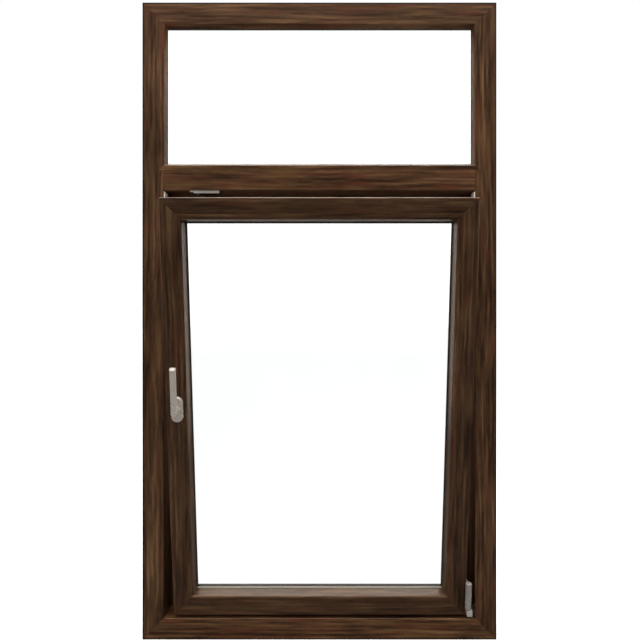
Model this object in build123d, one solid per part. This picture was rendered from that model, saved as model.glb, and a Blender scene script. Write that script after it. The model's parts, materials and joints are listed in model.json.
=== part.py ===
from build123d import *
import math
import os

os.makedirs("parts", exist_ok=True)

# Millimetres. X runs to the right and Z up, seen from the room; the room lies towards -Y.
# The origin is the middle of the frame's bottom face, where the window stands in the wall.

# Outer frame
frame_width = 1000.0
frame_height = 1800.0
frame_depth = 92.0
frame_face = 60.0            # width of a frame member seen from the room
frame_edge_round = 2.5
top_light_height = 399.0     # clear height between the transom and the head
transom_face = 71.0
rebate_depth = 76.0          # from the room face back to the lip that the sash closes on
lip_overlap = 10.0           # how far a lip covers the closed sash
lip_square = 4.0             # depth of a lip's or stop's square edge, before the splay
splay_slope = 0.55           # how fast the outer reveals open outwards
weld_groove = 0.5            # depth of the V groove along each welded mitre

# Sash, drawn closed and then leant into the room
side_gap = 27.5
bottom_gap = 9.0
top_gap = 44.0
sash_depth = 74.0
sash_face = 41.0             # flat face of a sash member, out to its glazing bead
sash_corner_round = 6.0
sash_edge_round = 3.5
sash_stop = 12.0             # width of the outer stop that the glass rests on
sash_stop_depth = 11.0
tilt = 7.25                  # degrees

# Glass and its seals
pane = 4.0
cavity = 16.0
glass_play = 4.0             # room left between the glass edge and the rebate
spacer_width = 9.0
gasket_thickness = 3.0
gasket_back = 6.0            # from the rebate wall to the gasket's hidden edge
top_gasket_lip = 1.2         # how far a gasket shows beyond what presses it
sash_gasket_lip = 3.5

# Glazing beads
top_rebate = 14.0            # how far the top light's rebate is cut into the frame's face
top_stop = 9.0               # how far the outer stop stands up in that rebate
top_bead_slope = 6.7
top_bead_depth = 14.0
top_bead_round = 3.0
sash_bead_flat = 14.0
sash_bead_slope = 6.0
sash_bead_depth = 33.0
sash_bead_round = 9.0
bead_step = 0.5              # a bead's face lies this far behind the member's face

# Feet of the transom's corner fittings
bracket_set = 1.0
bracket_depth = 29.0
bracket_drop = 4.0
bracket_height = 28.0
bracket_thickness = 2.5
bracket_round = 2.0

# Seal on the frame's lips
seal_width = 6.0
seal_edge = 3.0
seal_round = 0.9

# Hardware groove round the sash's edge, and the plates in it
groove_place = 42.0          # from the sash's room face
groove_width = 16.0
groove_depth = 3.0
plate_end = 24.0             # from a faceplate's end to the sash's corner

# Handle
handle_edge = 31.5           # from the sash's edge to the spindle
handle_height = 600.0
base_width = 31.0
base_height = 69.0
base_thickness = 11.0
base_corner = 15.4
base_edge = 2.5
spindle_radius = 8.0
spindle_reach = 8.0
spindle_play = 0.3
collar_radius = 11.0
collar_height = 7.0
collar_edge = 1.5
neck_width = 13.0
neck_height = 12.0
neck_corner = 4.0
grip_stand = 32.0            # from the sash's face to the grip's back
grip_width = 15.0
grip_thickness = 10.0
grip_up = 120.0
grip_down = 12.0
grip_corner = 3.0
grip_bevel = 2.5
tip_bevel = 6.0              # depth and length of the longer bevel at the grip's tip
tip_length = 7.0

# Lower hinge
hinge_out = 3.0              # from the sash's edge to the hinge axis
hinge_stand = 11.0           # from the sash's face to the hinge axis
hinge_radius = 8.5
hinge_foot = 29.0            # from the sash's bottom edge to the sleeve
hinge_length = 76.0
hinge_cap_edge = 2.0
hinge_leaf = 4.0
leaf_reach = 34.0
leaf_margin = 5.0
head_radius = 4.5
head_height = 7.0
head_rise = 8.0
pin_radius = 2.5
bearing_gap = 3.5            # between the sleeve and the bearing below it
bearing_height = 16.0
bearing_width = 15.5
bearing_shift = 3.0
bearing_round = 3.0
bearing_plate_height = 36.0
bearing_plate_reach = 46.0
bearing_web = 12.0
bearing_set = 3.0            # from the frame's room face back to a plate on the jamb

# Tilting stay
stay_slide = 290.0           # along the sash, from the hinge axis to the arm's far end
stay_width = 14.0
stay_thickness = 2.0
stay_play = 0.25
stay_pivot_set = 8.0         # from the frame's room face back to the stay's pivot
stay_pin_radius = 4.0
stay_eye_play = 0.8
link_place = 0.45            # share of the arm's length where the short link joins
link_length = 100.0
rivet_radius = 3.0
stay_ear_thickness = 3.0
stay_plate_thickness = 4.0
stay_plate_height = 40.0
stay_plate_depth = 56.0

# Keepers and cams
tilt_keeper_edge = 119.5     # from the handle-side jamb to the middle of the keeper
tilt_keeper_length = 73.0
tilt_keeper_depth = 28.0
tilt_keeper_thickness = 7.5
tilt_keeper_set = 4.0
tilt_keeper_round = 3.0
hook_length = 10.0
hook_thickness = 4.0
hook_depth = 14.0
keeper_length = 60.0
keeper_depth = 24.0
keeper_slot = 12.0
keeper_floor = 4.0
side_keeper_height = 900.0
bottom_keeper_edge = 112.5   # from the sash's handle-side edge
bottom_keeper_rise = 7.0
keeper_overlap = 3.0         # how far a side keeper reaches past the tip of its cam
cam_radius = 4.0
cam_head_radius = 5.0
cam_height = 9.0
bottom_cam_height = 7.0
cam_head_height = 2.5

# Sizes that follow
opening_width = frame_width - 2 * frame_face
transom_top = frame_height - frame_face - top_light_height
transom_bottom = transom_top - transom_face
room_face = -frame_depth / 2
sash_width = opening_width - 2 * side_gap
sash_height = transom_bottom - frame_face - bottom_gap - top_gap
sash_bottom = frame_face + bottom_gap
side_lip = side_gap + lip_overlap
top_lip = top_gap + lip_overlap
glass_thickness = 2 * pane + cavity
top_rebate_depth = top_bead_depth + glass_thickness + 2 * gasket_thickness
groove_middle = groove_place + groove_width / 2
handle_x = handle_edge - sash_width / 2
hinge_x = sash_width / 2 + hinge_out
tilt_keeper_x = tilt_keeper_edge - opening_width / 2
bottom_keeper_x = bottom_keeper_edge - sash_width / 2
cut_margin = 5.0             # how far a cutting block stands past what it cuts

sash_place = Pos(0, room_face, sash_bottom) * Rot(X=tilt)
frame_place = Pos(0, room_face, 0)
SIDES = ("left", "right", "bottom", "top")


def in_room(x, depth, height):
    """Where a point of the closed sash lies once the sash has leant into the room."""
    angle = math.radians(tilt)
    y = room_face + depth * math.cos(angle) - height * math.sin(angle)
    z = sash_bottom + depth * math.sin(angle) + height * math.cos(angle)
    return Vector(x, y, z)


def block(x_range, y_range, z_range):
    """A box between two values on each axis."""
    sizes = [high - low for low, high in (x_range, y_range, z_range)]
    middles = [(high + low) / 2 for low, high in (x_range, y_range, z_range)]
    return Pos(*middles) * Box(*sizes)


def rounded_section(points, rounds):
    """A closed section; rounds gives the radius at a point by its place in the list."""
    section = make_face(Polyline(*points, close=True))
    for place, radius in rounds.items():
        corner = section.vertices().sort_by_distance(Vector(*points[place]))[0]
        section = fillet(corner, radius)
    return section


def section_plane(side, width, height):
    """Half way along one side of a rectangle on the origin: x inwards, y to the outside."""
    middle = height / 2
    if side == "left":
        return Plane(origin=(-width / 2, 0, middle), x_dir=(1, 0, 0), z_dir=(0, 0, 1))
    if side == "right":
        return Plane(origin=(width / 2, 0, middle), x_dir=(-1, 0, 0), z_dir=(0, 0, -1))
    if side == "bottom":
        return Plane(origin=(0, 0, 0), x_dir=(0, 0, 1), z_dir=(-1, 0, 0))
    return Plane(origin=(0, 0, height), x_dir=(0, 0, -1), z_dir=(1, 0, 0))


def mitre_wedge(side, width, height, reach, depth):
    """The room between the two mitre planes at the ends of one side."""
    half = width / 2
    ends = {
        "left": [(-half, 0), (-half, height), (reach - half, height - reach), (reach - half, reach)],
        "right": [(half, 0), (half, height), (half - reach, height - reach), (half - reach, reach)],
        "bottom": [(-half, 0), (half, 0), (half - reach, reach), (reach - half, reach)],
        "top": [(-half, height), (half, height), (half - reach, height - reach),
                (reach - half, height - reach)],
    }
    corners = [(x, 0, z) for x, z in ends[side]]
    return extrude(make_face(Polyline(*corners, close=True)), amount=depth, both=True)


def weld_grooves(width, height, reach, depths):
    """V grooves along the four mitres of a rectangle, in its faces at the given depths."""
    length = 2 * reach
    size = weld_groove * math.sqrt(2)
    grooves = []
    for depth in depths:
        for end, base in ((-1, 0), (1, height)):
            for hand in (-1, 1):
                strip = Pos(length / 2 - reach / 4, 0, 0) * Rot(X=45) * Box(length, size, size)
                angle = 45 * end if hand < 0 else 180 - 45 * end
                grooves.append(Pos(hand * width / 2, depth, base) * Rot(Y=angle) * strip)
    return grooves


def mitred_bar(section, side, width, height):
    """One bar of a mitred rectangle, from a section drawn at its outer edge."""
    extent = section.bounding_box()
    bar = extrude(section_plane(side, width, height) * section, amount=max(width, height), both=True)
    return bar & mitre_wedge(side, width, height, extent.max.X + 1, extent.max.Y + 1)


def ring(section, width, height):
    """Four mitred bars in one piece."""
    first, *others = [mitred_bar(section, side, width, height) for side in SIDES]
    return first.fuse(*others).clean()


def flat_ring(outer_inset, inner_inset, start, thickness, width, height):
    """A ring of rectangular section in a glazing rebate of the given width and height."""
    end = start + thickness
    corners = [(outer_inset, start), (inner_inset, start), (inner_inset, end), (outer_inset, end)]
    return ring(rounded_section(corners, {}), width, height)


# Frame


def top_rebate_block():
    """What the top light's glazing rebate takes out of the members round it."""
    half = opening_width / 2 + top_rebate
    heights = (transom_top - top_rebate, frame_height - frame_face + top_rebate)
    return block((-half, half), (-cut_margin, top_rebate_depth), heights)


def lipped_section():
    """Frame section with the lip that the sash closes on, its outer edge splayed."""
    face = frame_face
    tip = frame_face + side_lip
    square_end = rebate_depth + lip_square
    back = tip - splay_slope * (frame_depth - square_end)
    points = [(0, 0), (face, 0), (face, rebate_depth), (tip, rebate_depth), (tip, square_end),
              (back, frame_depth), (0, frame_depth)]
    return rounded_section(points, {1: frame_edge_round})


def plain_section():
    points = [(0, 0), (frame_face, 0), (frame_face, frame_depth), (0, frame_depth)]
    return rounded_section(points, {1: frame_edge_round})


def top_light_opening():
    """What the stop and the splayed outer reveal leave open behind the top light's glass."""
    clear = top_rebate - top_stop
    width = opening_width + 2 * clear
    height = top_light_height + 2 * clear
    square_end = top_rebate_depth + lip_square
    spread = 2 * splay_slope * (frame_depth - square_end)
    middle = transom_top + top_light_height / 2

    def outline(depth, extra):
        plane = Plane(origin=(0, depth, middle), x_dir=(1, 0, 0), z_dir=(0, 1, 0))
        return plane * Rectangle(width + extra, height + extra)

    square = extrude(outline(top_rebate_depth - cut_margin, 0), amount=lip_square + cut_margin)
    splay = loft([outline(square_end, 0), outline(frame_depth, spread)], ruled=True)
    return square.fuse(splay)


def jamb(side):
    """Full-height jamb: lipped beside the sash, rebated for glass beside the top light."""
    bar = mitred_bar(lipped_section(), side, frame_width, frame_height)
    half = opening_width / 2
    above_lip = block((-half, half), (-cut_margin, frame_depth + cut_margin),
                      (transom_bottom - top_lip, frame_height - frame_face))
    return bar - above_lip - top_rebate_block() - top_light_opening() - frame_grooves()


def frame_grooves():
    return weld_grooves(frame_width, frame_height, frame_face + side_lip, (0, frame_depth))


def head():
    bar = mitred_bar(plain_section(), "top", frame_width, frame_height)
    return bar - top_rebate_block() - top_light_opening() - frame_grooves()


def bottom_rail():
    return mitred_bar(lipped_section(), "bottom", frame_width, frame_height) - frame_grooves()


def transom():
    """Transom between the jambs, with its lip hanging behind the sash's top edge."""
    lip_bottom = transom_bottom - top_lip
    square_end = rebate_depth + lip_square
    back = lip_bottom + splay_slope * (frame_depth - square_end)
    points = [(0, transom_bottom), (0, transom_top), (frame_depth, transom_top),
              (frame_depth, back), (square_end, lip_bottom), (rebate_depth, lip_bottom),
              (rebate_depth, transom_bottom)]
    section = rounded_section(points, {0: frame_edge_round})
    across = Plane(origin=(0, 0, 0), x_dir=(0, 1, 0), z_dir=(1, 0, 0))
    bar = extrude(across * section, amount=opening_width / 2, both=True)
    return bar - top_rebate_block() - top_light_opening()


def transom_brackets():
    """Feet of the two fittings that join the transom to the jambs, in the corners of the rebate."""
    front = bracket_set
    back = bracket_set + bracket_depth
    top = transom_bottom - bracket_drop
    half = opening_width / 2
    feet = []
    for hand in (-1, 1):
        sides = sorted((hand * half, hand * (half - bracket_thickness)))
        foot = block(sides, (front, back), (top - bracket_height, top))
        foot = fillet(foot.edges().filter_by(Axis.X), bracket_round)
        feet.append(foot)
    return Compound(feet)


def frame_seal():
    """Soft seal on the room side of the lips, where the closed sash presses."""
    inset = side_lip - seal_edge - seal_width
    top_inset = top_lip - seal_edge - seal_width
    front = sash_depth
    back = rebate_depth
    points = [(0, back), (0, front), (seal_width, front), (seal_width, back)]
    section = rounded_section(points, {1: seal_round, 2: seal_round})
    width = opening_width - 2 * inset
    height = transom_bottom - frame_face - inset - top_inset
    return Pos(0, 0, frame_face + inset) * ring(section, width, height)


# Glazing


def glazing(name, width, height, bead, bead_back, inner_sight, outer_sight):
    """Beads, gaskets, panes and spacer that fill a rebate standing on the origin."""
    glass_front = bead_back + gasket_thickness
    glass_back = glass_front + glass_thickness
    glass_width = width - 2 * glass_play
    glass_heights = (glass_play, height - glass_play)
    across = (-glass_width / 2, glass_width / 2)
    parts = {f"{name}_bead_{side}": mitred_bar(bead, side, width, height) for side in SIDES}
    parts[f"{name}_gasket_inner"] = flat_ring(
        gasket_back, inner_sight, bead_back, gasket_thickness, width, height)
    parts[f"{name}_gasket_outer"] = flat_ring(
        gasket_back, outer_sight, glass_back, gasket_thickness, width, height)
    parts[f"{name}_glass_inner"] = block(across, (glass_front, glass_front + pane), glass_heights)
    parts[f"{name}_glass_outer"] = block(across, (glass_back - pane, glass_back), glass_heights)
    parts[f"{name}_glass_spacer"] = flat_ring(
        glass_play, glass_play + spacer_width, glass_front + pane, cavity, width, height)
    return parts


def top_light():
    slope_end = top_rebate + top_bead_slope
    points = [(0, bead_step), (top_rebate, bead_step), (slope_end, top_bead_depth), (0, top_bead_depth)]
    bead = rounded_section(points, {1: top_bead_round})
    width = opening_width + 2 * top_rebate
    height = top_light_height + 2 * top_rebate
    parts = glazing("top_light", width, height, bead, top_bead_depth,
                    slope_end + top_gasket_lip, top_stop + top_gasket_lip)
    place = frame_place * Pos(0, 0, transom_top - top_rebate)
    return {name: place * part for name, part in parts.items()}


def sash_glazing():
    slope_end = sash_bead_flat + sash_bead_slope
    points = [(0, bead_step), (sash_bead_flat, bead_step), (slope_end, sash_bead_depth),
              (0, sash_bead_depth)]
    bead = rounded_section(points, {1: sash_bead_round})
    width = sash_width - 2 * sash_face
    height = sash_height - 2 * sash_face
    parts = glazing("sash", width, height, bead, sash_bead_depth,
                    slope_end + sash_gasket_lip, sash_stop + top_gasket_lip)
    return {name: sash_place * Pos(0, 0, sash_face) * part for name, part in parts.items()}


# Sash


def sash_section():
    """Sash section: flat face, hardware groove in the edge, and the stop behind the glass."""
    stop_front = sash_depth - sash_stop_depth
    stop_tip = sash_face + sash_stop
    square_end = stop_front + lip_square
    stop_back = stop_tip - splay_slope * (sash_depth - square_end)
    groove_end = groove_place + groove_width
    points = [(0, 0), (sash_face, 0), (sash_face, stop_front), (stop_tip, stop_front),
              (stop_tip, square_end), (stop_back, sash_depth), (0, sash_depth), (0, groove_end),
              (groove_depth, groove_end), (groove_depth, groove_place), (0, groove_place)]
    return rounded_section(points, {0: sash_edge_round})


def sash_members():
    """Four mitred bars, rounded at the sash's corners."""
    plan = Plane(origin=(0, 0, sash_height / 2), x_dir=(1, 0, 0), z_dir=(0, -1, 0))
    outline = plan * RectangleRounded(sash_width, sash_height, sash_corner_round)
    envelope = extrude(outline, amount=sash_depth + cut_margin, both=True)
    names = {"left": "sash_left_stile", "right": "sash_right_stile",
             "top": "sash_top_rail", "bottom": "sash_bottom_rail"}
    section = sash_section()
    grooves = weld_grooves(sash_width, sash_height, sash_face + sash_stop, (0, sash_depth))
    bars = {side: mitred_bar(section, side, sash_width, sash_height) & envelope for side in SIDES}
    return {names[side]: sash_place * (bar - grooves) for side, bar in bars.items()}


def faceplates():
    """Steel plates that lie flush in the hardware groove."""
    across = (groove_place, groove_place + groove_width)
    half = sash_width / 2
    heights = (plate_end, sash_height - plate_end)
    lengths = (plate_end - half, half - plate_end)
    plates = {
        "side_faceplate": block((-half, groove_depth - half), across, heights),
        "top_faceplate": block(lengths, across, (sash_height - groove_depth, sash_height)),
        "bottom_faceplate": block(lengths, across, (0, groove_depth)),
    }
    return {name: sash_place * plate for name, plate in plates.items()}


# Handle


def handle_plane(stand):
    """Parallel to the sash's face and in front of it, centred on the spindle."""
    return Plane(origin=(handle_x, -stand, handle_height), x_dir=(1, 0, 0), z_dir=(0, -1, 0))


def handle_base():
    plate = extrude(handle_plane(0) * RectangleRounded(base_width, base_height, base_corner),
                    amount=base_thickness)
    front_edges = plate.faces().sort_by(Axis.Y)[0].edges()
    plate = chamfer(front_edges, base_edge)
    bore_start = base_thickness - spindle_reach - spindle_play
    bore = extrude(handle_plane(bore_start) * Circle(spindle_radius + spindle_play),
                   amount=base_thickness)
    return plate - bore


def tip_wedge():
    """What the long bevel takes off the front of the grip's tip."""
    front = -grip_stand - grip_thickness
    top = handle_height + grip_up
    side = Plane(origin=(handle_x, 0, 0), x_dir=(0, 1, 0), z_dir=(1, 0, 0))
    corner = Polyline((front, top - tip_length), (front, top), (front + tip_bevel, top), close=True)
    return extrude(side * make_face(corner), amount=grip_width, both=True)


def handle_lever():
    """Spindle, collar, neck and flat bevelled grip in one casting, pointing up."""
    spindle = extrude(handle_plane(base_thickness - spindle_reach) * Circle(spindle_radius),
                      amount=spindle_reach + spindle_play)
    collar = extrude(handle_plane(base_thickness + spindle_play) * Circle(collar_radius),
                     amount=collar_height)
    collar = chamfer(collar.edges().sort_by(Axis.Y)[0], collar_edge)
    neck = extrude(handle_plane(base_thickness + collar_height) *
                   RectangleRounded(neck_width, neck_height, neck_corner),
                   amount=grip_stand - base_thickness - collar_height)
    outline = make_face(Polyline((-grip_width / 2, 0), (-grip_width / 2, grip_up),
                                 (grip_width / 2, grip_up), (grip_width / 2, 0), close=True))
    outline = fillet(outline.vertices().group_by(Axis.Y)[-1], grip_corner)
    heel = Pos(0, grip_width / 2 - grip_down) * Circle(grip_width / 2)
    filler = Pos(0, (grip_width / 2 - grip_down) / 2) * Rectangle(grip_width, grip_down - grip_width / 2)
    outline = outline + filler + heel
    grip = extrude(handle_plane(grip_stand) * outline, amount=grip_thickness)
    grip = chamfer(grip.faces().sort_by(Axis.Y)[0].edges(), grip_bevel) - tip_wedge()
    return spindle.fuse(collar, neck, grip).clean()


# Lower hinge


def hinge_band():
    """Sleeve on the sash, with the leaf that screws to the sash's edge."""
    bottom = hinge_foot
    top = hinge_foot + hinge_length
    sleeve = Pos(hinge_x, -hinge_stand, (bottom + top) / 2) * Cylinder(hinge_radius, hinge_length)
    sleeve = chamfer(sleeve.edges().sort_by(Axis.Z)[-1], hinge_cap_edge)
    edge = sash_width / 2
    leaf = block((edge, edge + hinge_leaf), (-hinge_stand, leaf_reach),
                 (bottom + leaf_margin, top - leaf_margin))
    bore_depth = head_rise + head_height
    bore = Pos(hinge_x, -hinge_stand, bottom + bore_depth / 2) * Cylinder(head_radius, bore_depth)
    return sleeve.fuse(leaf).clean() - bore


def head_centre():
    return in_room(hinge_x, -hinge_stand, hinge_foot + head_rise)


def bearing_top():
    return in_room(hinge_x, -hinge_stand, hinge_foot).Z - bearing_gap


def corner_bearing():
    """Bearing on the frame that carries the hinge, screwed to the jamb in the rebate."""
    centre = head_centre()
    top = bearing_top()
    wall = opening_width / 2
    body = Box(bearing_width, 2 * hinge_radius, bearing_height)
    body = fillet(body.edges().filter_by(Axis.Z), bearing_round)
    body = Pos(centre.X + bearing_shift, centre.Y, top - bearing_height / 2) * body
    plate_back = room_face + bearing_set + bearing_plate_reach
    plate = block((wall - hinge_leaf, wall), (room_face + bearing_set, plate_back),
                  (frame_face, frame_face + bearing_plate_height))
    web = block((centre.X, wall - hinge_leaf), (centre.Y, room_face + bearing_set + bearing_web),
                (top - bearing_height, frame_face + bearing_plate_height - hinge_leaf))
    pin_hole = Pos(centre.X, centre.Y, top) * Cylinder(pin_radius, bearing_height)
    return body.fuse(plate, web).clean() - pin_hole


def hinge_pin():
    """Upright pin whose leaning head fills the bore of the sleeve."""
    centre = head_centre()
    foot = bearing_top() - bearing_height / 2
    length = centre.Z - foot
    shank = Pos(centre.X, centre.Y, foot + length / 2) * Cylinder(pin_radius, length)
    head = Cylinder(head_radius, head_height)
    head = chamfer(head.edges(), head_radius - pin_radius)
    return shank.fuse(Pos(centre.X, centre.Y, centre.Z) * Rot(X=tilt) * head).clean()


# Tilting stay


def stay_pivot():
    """Distance of the stay's pivot behind the sash's face, measured square to the sash."""
    angle = math.radians(tilt)
    return (stay_pivot_set + sash_height * math.sin(angle)) / math.cos(angle)


def stay_bar(start, end, level, eyes):
    """Flat bar with round ends and eyes, lying parallel to the sash's top edge."""
    along = Vector(*end) - Vector(*start)
    plan = Plane(origin=(*start, level), x_dir=(along.X, along.Y, 0), z_dir=(0, 0, 1))
    bar = extrude(plan * SlotCenterToCenter(along.length, stay_width).moved(Pos(along.length / 2, 0)),
                  amount=stay_thickness)
    for (x, y), radius in eyes:
        bar -= Pos(x, y, level + stay_thickness / 2) * Cylinder(radius, 2 * stay_thickness)
    return bar


def stay_points():
    """Ends of the arm and of the short link, in the plane of the sash's top edge."""
    slide = (hinge_x - stay_slide, groove_middle)
    pivot = (hinge_x, stay_pivot())
    joint = tuple(a + link_place * (b - a) for a, b in zip(slide, pivot))
    rise = joint[1] - groove_middle
    foot = (joint[0] + math.sqrt(link_length ** 2 - rise ** 2), groove_middle)
    return slide, pivot, joint, foot


def stay_arm():
    slide, pivot, joint, foot = stay_points()
    level = sash_height + stay_thickness + 2 * stay_play
    return stay_bar(slide, pivot, level, [(pivot, stay_pin_radius + stay_eye_play), (joint, rivet_radius),
                                          (slide, rivet_radius)])


def stay_link():
    slide, pivot, joint, foot = stay_points()
    return stay_bar(foot, joint, sash_height + stay_play, [(foot, rivet_radius), (joint, rivet_radius)])


def stay_rivets():
    """Rivets that join arm, link and faceplate."""
    slide, pivot, joint, foot = stay_points()
    link_top = sash_height + stay_play + stay_thickness
    arm_top = link_top + stay_play + stay_thickness
    rivets = [(slide, sash_height, arm_top), (foot, sash_height, link_top),
              (joint, sash_height + stay_play, arm_top)]
    return Compound([Pos(x, y, (low + high) / 2) * Cylinder(rivet_radius, high - low)
                     for (x, y), low, high in rivets])


def stay_bearing():
    """Bearing on the jamb with the upright pin that the arm swings on."""
    slide, pivot, joint, foot = stay_points()
    centre = in_room(pivot[0], pivot[1], sash_height)
    wall = opening_width / 2
    ear_reach = stay_width / 2
    ear_top = centre.Z - ear_reach * math.sin(math.radians(tilt)) - stay_play
    ear_bottom = ear_top - stay_ear_thickness
    pin_top = centre.Z + 3 * stay_thickness
    ear = block((centre.X - ear_reach, wall), (centre.Y - ear_reach, centre.Y + ear_reach),
                (ear_bottom, ear_top))
    ear = fillet(ear.edges().filter_by(Axis.Z).sort_by(Axis.X)[:2], ear_reach / 2)
    plate = block((wall - stay_plate_thickness, wall),
                  (room_face + bearing_set - stay_pivot_set / 2, room_face + stay_plate_depth),
                  (ear_bottom - stay_plate_height, ear_top))
    pin = Pos(centre.X, centre.Y, (ear_bottom + pin_top) / 2) * Cylinder(stay_pin_radius,
                                                                         pin_top - ear_bottom)
    return ear.fuse(plate, pin).clean()


# Keepers and cams


def tilt_keeper():
    """Strike plate under the transom, with the hook that holds the sash in the tilt position."""
    half = tilt_keeper_length / 2
    front = tilt_keeper_set
    back = tilt_keeper_set + tilt_keeper_depth
    top = transom_bottom
    bottom = transom_bottom - tilt_keeper_thickness
    body = block((-half, half), (front, back), (bottom, top))
    body = fillet(body.edges().filter_by(Axis.Z), tilt_keeper_round)
    slot_middle = (front + back) / 2
    slot = block((-half / 2, half + cut_margin),
                 (slot_middle - keeper_slot / 2, slot_middle + keeper_slot / 2),
                 (bottom - cut_margin, top - keeper_floor + cut_margin / 2))
    hook = block((-half - hook_length, -half), (front, front + hook_depth), (top - hook_thickness, top))
    return Pos(tilt_keeper_x, room_face, 0) * (body - slot).fuse(hook).clean()


def keeper_block(height):
    """Keeper standing on the origin: a block with a slot that a cam runs into."""
    body = block((-keeper_length / 2, keeper_length / 2), (-keeper_depth / 2, keeper_depth / 2),
                 (0, height))
    body = fillet(body.edges().filter_by(Axis.Z), tilt_keeper_round)
    slot = block((-keeper_length / 4, keeper_length / 2 + cut_margin),
                 (-keeper_slot / 2, keeper_slot / 2), (keeper_floor, height + cut_margin))
    return body - slot


def side_keeper():
    """Keeper on the handle-side jamb, level with the side cam."""
    rise = side_gap - cam_height + keeper_overlap
    place = Pos(-opening_width / 2, room_face + groove_middle, sash_bottom + side_keeper_height)
    return place * Rot(Y=90) * keeper_block(rise)


def bottom_keeper():
    """Keeper on the bottom rail that the bottom cam stays in while the sash is tilted."""
    centre = in_room(bottom_keeper_x, groove_middle, 0)
    floor_block = block((-keeper_length / 2, keeper_length / 2),
                        (-keeper_depth / 2, keeper_depth / 2), (0, bottom_keeper_rise))
    slot = block((-keeper_length / 4, keeper_length / 2 + cut_margin),
                 (-keeper_slot / 2, keeper_slot / 2), (keeper_floor / 2, keeper_depth))
    return Pos(centre.X, centre.Y, frame_face) * (floor_block - slot)


def cam(height):
    """Mushroom cam standing on the origin."""
    stem = Pos(0, 0, height / 2) * Cylinder(cam_radius, height)
    cap = Pos(0, 0, height - cam_head_height / 2) * Cylinder(cam_head_radius, cam_head_height)
    return stem.fuse(cap).clean()


def cams():
    side = Pos(-sash_width / 2, groove_middle, side_keeper_height) * Rot(Y=-90) * cam(cam_height)
    bottom = Pos(bottom_keeper_x, groove_middle, 0) * Rot(X=180) * cam(bottom_cam_height)
    return {"side_cam": sash_place * side, "bottom_cam": sash_place * bottom}


def window():
    """Every piece of the window by name, in place."""
    on_frame = {
        "frame_left_jamb": jamb("left"),
        "frame_right_jamb": jamb("right"),
        "frame_head": head(),
        "frame_bottom_rail": bottom_rail(),
        "transom": transom(),
        "transom_brackets": transom_brackets(),
        "frame_seal": frame_seal(),
    }
    on_sash = {
        "handle_base": handle_base(),
        "handle_lever": handle_lever(),
        "hinge_band": hinge_band(),
        "stay_arm": stay_arm(),
        "stay_link": stay_link(),
        "stay_rivets": stay_rivets(),
    }
    parts = {name: frame_place * part for name, part in on_frame.items()}
    parts.update({name: sash_place * part for name, part in on_sash.items()})
    parts.update(top_light())
    parts.update(sash_members())
    parts.update(sash_glazing())
    parts.update(faceplates())
    parts.update(cams())
    parts["corner_bearing"] = corner_bearing()
    parts["hinge_pin"] = hinge_pin()
    parts["stay_bearing"] = stay_bearing()
    parts["tilt_keeper"] = tilt_keeper()
    parts["side_keeper"] = side_keeper()
    parts["bottom_keeper"] = bottom_keeper()
    return parts


for name, part in window().items():
    export_step(part, f"parts/{name}.step")
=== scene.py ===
import json
import math
import random

import bmesh
import bpy
from mathutils import Matrix, Vector


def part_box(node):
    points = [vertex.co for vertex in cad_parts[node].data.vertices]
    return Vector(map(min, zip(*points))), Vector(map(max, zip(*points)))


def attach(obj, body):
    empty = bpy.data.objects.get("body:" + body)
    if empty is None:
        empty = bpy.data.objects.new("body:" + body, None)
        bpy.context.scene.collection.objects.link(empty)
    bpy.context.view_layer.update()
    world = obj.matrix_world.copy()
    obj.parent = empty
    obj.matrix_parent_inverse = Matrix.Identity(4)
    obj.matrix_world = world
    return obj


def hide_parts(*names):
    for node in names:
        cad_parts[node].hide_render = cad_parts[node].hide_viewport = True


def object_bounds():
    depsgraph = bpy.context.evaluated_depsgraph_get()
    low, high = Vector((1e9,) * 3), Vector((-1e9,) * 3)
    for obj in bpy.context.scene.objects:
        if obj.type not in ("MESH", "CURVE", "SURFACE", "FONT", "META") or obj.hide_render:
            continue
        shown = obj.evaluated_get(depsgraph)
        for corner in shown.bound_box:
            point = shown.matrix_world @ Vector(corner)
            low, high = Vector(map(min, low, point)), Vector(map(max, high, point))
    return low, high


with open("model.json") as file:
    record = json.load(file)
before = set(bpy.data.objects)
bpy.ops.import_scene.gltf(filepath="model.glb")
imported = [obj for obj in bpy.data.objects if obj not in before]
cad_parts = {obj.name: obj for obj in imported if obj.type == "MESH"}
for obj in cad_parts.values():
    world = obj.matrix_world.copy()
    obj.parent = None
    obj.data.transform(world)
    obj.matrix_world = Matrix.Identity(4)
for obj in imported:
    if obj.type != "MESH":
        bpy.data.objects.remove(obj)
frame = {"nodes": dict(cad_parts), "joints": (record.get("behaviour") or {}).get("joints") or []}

# Metres. X runs to the right seen from the room, Y to the outside and Z up.

CAD_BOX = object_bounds()
SCENE = bpy.context.scene
NODES = frame["nodes"]
ROOT = "root"

# The photograph: a level camera before the middle of the window
FOCAL_PIXELS = 540.0
PICTURE_PIXELS = 640.0
SENSOR = 36.0                # in millimetres
CAMERA_DISTANCE = 1.526      # from the frame's room face
CAMERA_HEIGHT = 0.903
CAMERA_SIDE = 0.0016

# The frame, and the sash, which leans as far as the handle's axis does
FRAME_LOW, FRAME_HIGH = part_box("frame_bottom_rail")
ROOM_FACE = FRAME_LOW.y
HALF_WIDTH = FRAME_HIGH.x
HALF_HEIGHT = CAD_BOX[1][2] / 2
HANDLE_AXIS = Vector(frame["joints"][0]["axis"]).normalized()
TILT = math.asin(HANDLE_AXIS.z)
SASH_ORIGIN = Vector((0.0, ROOM_FACE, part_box("sash_bottom_rail")[0].z))
SASH_MATRIX = Matrix.Translation(SASH_ORIGIN) @ Matrix.Rotation(TILT, 4, "X")
UPRIGHT = Matrix.Identity(4)

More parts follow.
